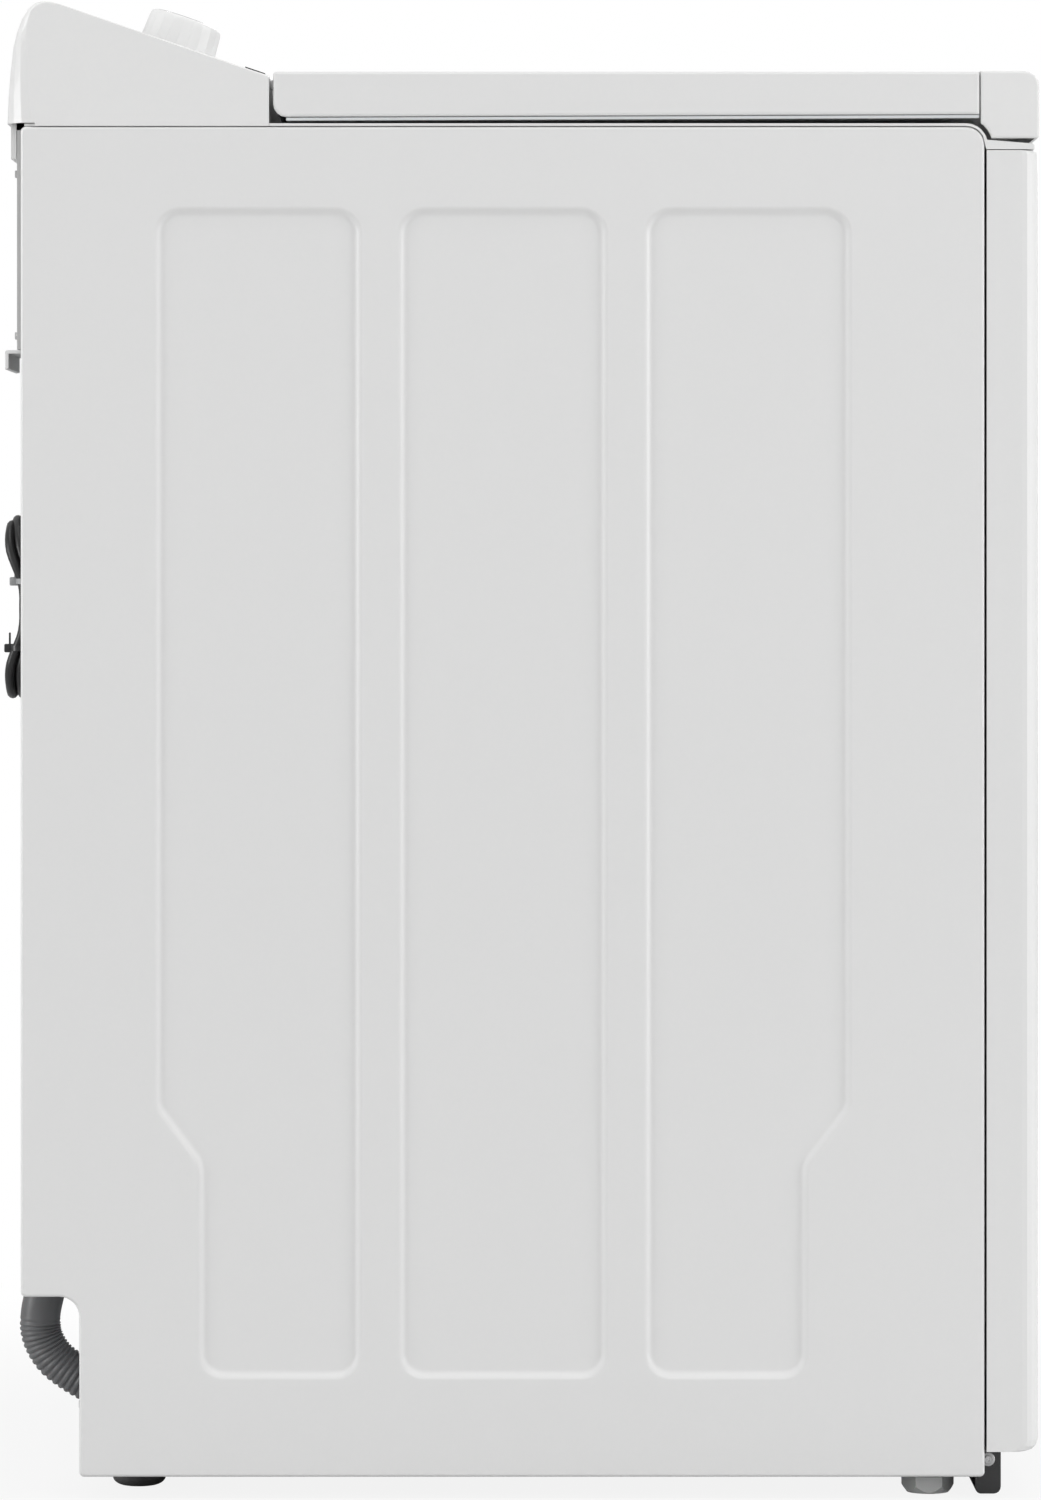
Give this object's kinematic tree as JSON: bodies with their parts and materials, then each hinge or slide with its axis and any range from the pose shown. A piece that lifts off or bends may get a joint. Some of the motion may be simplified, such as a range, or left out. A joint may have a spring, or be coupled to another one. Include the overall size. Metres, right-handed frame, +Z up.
{
  "type": "top-loading washing machine",
  "caption": "Full-size top-loading washing machine with pressed side panels, a full-width hinged lid, a sloping rear console with a knob, and a suspended direct-drive tub.",
  "frame": {"origin": "on the floor, at the middle of the machine's width and depth", "axes": "+X to the machine's right-hand side, +Y to its back, +Z up; its front faces -Y"},
  "size_m": [0.686, 0.727, 1.056],
  "materials": {
    "painted_white": "gloss appliance paint",
    "white_plastic": "satin",
    "grey_plastic": "satin",
    "black_plastic": "satin",
    "rubber": "matte",
    "hose_grey": "satin",
    "steel": "brushed",
    "aluminium": "cast",
    "chrome": "polished",
    "smoked_glass": "polished",
    "display_black": "polished",
    "copper": "enamelled wire",
    "circuit_board": "satin"
  },
  "bodies": {
    "cabinet": {"base_frame": "black_plastic", "cold_water_valve": "grey_plastic", "console_housing": "white_plastic", "control_board": "circuit_board", "cord_strain_relief": "black_plastic", "dispenser_housing": "white_plastic", "display_window": "display_black", "drain_hose": "hose_grey", "drain_pump": "grey_plastic", "front_panel": "painted_white", "hinge_bracket_left": "steel", "hinge_bracket_right": "steel", "hose_hook": "white_plastic", "hot_water_valve": "grey_plastic", "knob_bezel": "black_plastic", "lid_lock_housing": "grey_plastic", "power_cord": "black_plastic", "power_cord_hank": "black_plastic", "power_plug": "black_plastic", "rear_panel": "painted_white", "rear_service_cover": "white_plastic", "side_panel_left": "painted_white", "side_panel_right": "painted_white", "strut_front_left": "steel", "strut_front_right": "steel", "strut_rear_left": "steel", "strut_rear_right": "steel", "top_cover": "white_plastic"},
    "lid": {"lid_frame": "painted_white", "lid_handle": "white_plastic", "lid_liner": "white_plastic", "lid_glass": "smoked_glass", "lid_hinge_left": "steel", "lid_hinge_right": "steel"},
    "knob": {"knob_body": "white_plastic", "knob_trim": "chrome"},
    "power_button_body": {"power_button": "white_plastic"},
    "start_button_body": {"start_button": "white_plastic"},
    "option_button_1_body": {"option_button_1": "white_plastic"},
    "option_button_2_body": {"option_button_2": "white_plastic"},
    "option_button_3_body": {"option_button_3": "white_plastic"},
    "option_button_4_body": {"option_button_4": "white_plastic"},
    "drawer": {"detergent_drawer": "white_plastic"},
    "lock_bolt_body": {"lock_bolt": "steel"},
    "tub": {"outer_tub": "white_plastic", "tub_cover": "white_plastic", "upper_bearing": "steel", "lower_bearing": "steel", "motor_stator": "copper"},
    "basket": {"wash_basket": "steel", "balance_ring": "grey_plastic", "basket_hub": "aluminium"},
    "drive": {"pulsator": "white_plastic", "drive_shaft": "steel", "motor_rotor": "steel"},
    "clutch": {"clutch_coupling": "grey_plastic"},
    "foot_front_left_body": {"foot_front_left": "grey_plastic"},
    "foot_front_right_body": {"foot_front_right": "grey_plastic"},
    "foot_rear_left_body": {"foot_rear_left": "rubber"},
    "foot_rear_right_body": {"foot_rear_right": "rubber"}
  },
  "joints": [
    {"name": "lid_hinge", "type": "hinge", "parent": "cabinet", "child": "lid", "pos_m": [0, 0.1643, 0.9935], "axis": [-1, 0, 0], "range_deg": [0, 100]},
    {"name": "knob_turn", "type": "hinge", "parent": "cabinet", "child": "knob", "pos_m": [-0.2, 0.24938, 1.02299], "axis": [0, -0.3232, 0.9463], "continuous": true},
    {"name": "power_button_press", "type": "slide", "parent": "cabinet", "child": "power_button_body", "axis": [0, 0.3232, -0.9463], "range_m": [0, 0.0012], "stiffness_N_per_m": 800, "springref_m": -0.001},
    {"name": "start_button_press", "type": "slide", "parent": "cabinet", "child": "start_button_body", "axis": [0, 0.3232, -0.9463], "range_m": [0, 0.0012], "stiffness_N_per_m": 800, "springref_m": -0.001},
    {"name": "option_button_1_press", "type": "slide", "parent": "cabinet", "child": "option_button_1_body", "axis": [0, 0.3232, -0.9463], "range_m": [0, 0.001], "stiffness_N_per_m": 800, "springref_m": -0.001},
    {"name": "option_button_2_press", "type": "slide", "parent": "cabinet", "child": "option_button_2_body", "axis": [0, 0.3232, -0.9463], "range_m": [0, 0.001], "stiffness_N_per_m": 800, "springref_m": -0.001},
    {"name": "option_button_3_press", "type": "slide", "parent": "cabinet", "child": "option_button_3_body", "axis": [0, 0.3232, -0.9463], "range_m": [0, 0.001], "stiffness_N_per_m": 800, "springref_m": -0.001},
    {"name": "option_button_4_press", "type": "slide", "parent": "cabinet", "child": "option_button_4_body", "axis": [0, 0.3232, -0.9463], "range_m": [0, 0.001], "stiffness_N_per_m": 800, "springref_m": -0.001},
    {"name": "detergent_drawer_slide", "type": "slide", "parent": "cabinet", "child": "drawer", "axis": [0, -1, 0], "range_m": [0, 0.06]},
    {"name": "lid_lock_bolt_slide", "type": "slide", "parent": "cabinet", "child": "lock_bolt_body", "axis": [0, 0, 1], "range_m": [0, 0.0045]},
    {"name": "tub_suspension", "type": "slide", "parent": "cabinet", "child": "tub", "axis": [0, 0, 1], "range_m": [-0.012, 0.008], "stiffness_N_per_m": 14000, "springref_m": 0.02379, "deforming": ["strut_front_left", "strut_front_right", "strut_rear_left", "strut_rear_right"]},
    {"name": "basket_spin", "type": "hinge", "parent": "tub", "child": "basket", "pos_m": [0, -0.025, 0.5], "axis": [0, 0, 1], "continuous": true},
    {"name": "drive_spin", "type": "hinge", "parent": "tub", "child": "drive", "pos_m": [0, -0.025, 0.27], "axis": [0, 0, 1], "continuous": true},
    {"name": "clutch_shift", "type": "slide", "parent": "tub", "child": "clutch", "axis": [0, 0, 1], "range_m": [0, 0.01]},
    {"name": "foot_front_left_turn", "type": "hinge", "parent": "cabinet", "child": "foot_front_left_body", "pos_m": [-0.299, -0.2877, 0.03], "axis": [0, 0, 1], "continuous": true},
    {"name": "foot_front_right_turn", "type": "hinge", "parent": "cabinet", "child": "foot_front_right_body", "pos_m": [0.299, -0.2877, 0.03], "axis": [0, 0, 1], "continuous": true},
    {"name": "foot_rear_left_turn", "type": "hinge", "parent": "cabinet", "child": "foot_rear_left_body", "pos_m": [-0.266, 0.2713, 0.03], "axis": [0, 0, 1], "continuous": true},
    {"name": "foot_rear_right_turn", "type": "hinge", "parent": "cabinet", "child": "foot_rear_right_body", "pos_m": [0.266, 0.2713, 0.03], "axis": [0, 0, 1], "continuous": true}
  ]
}
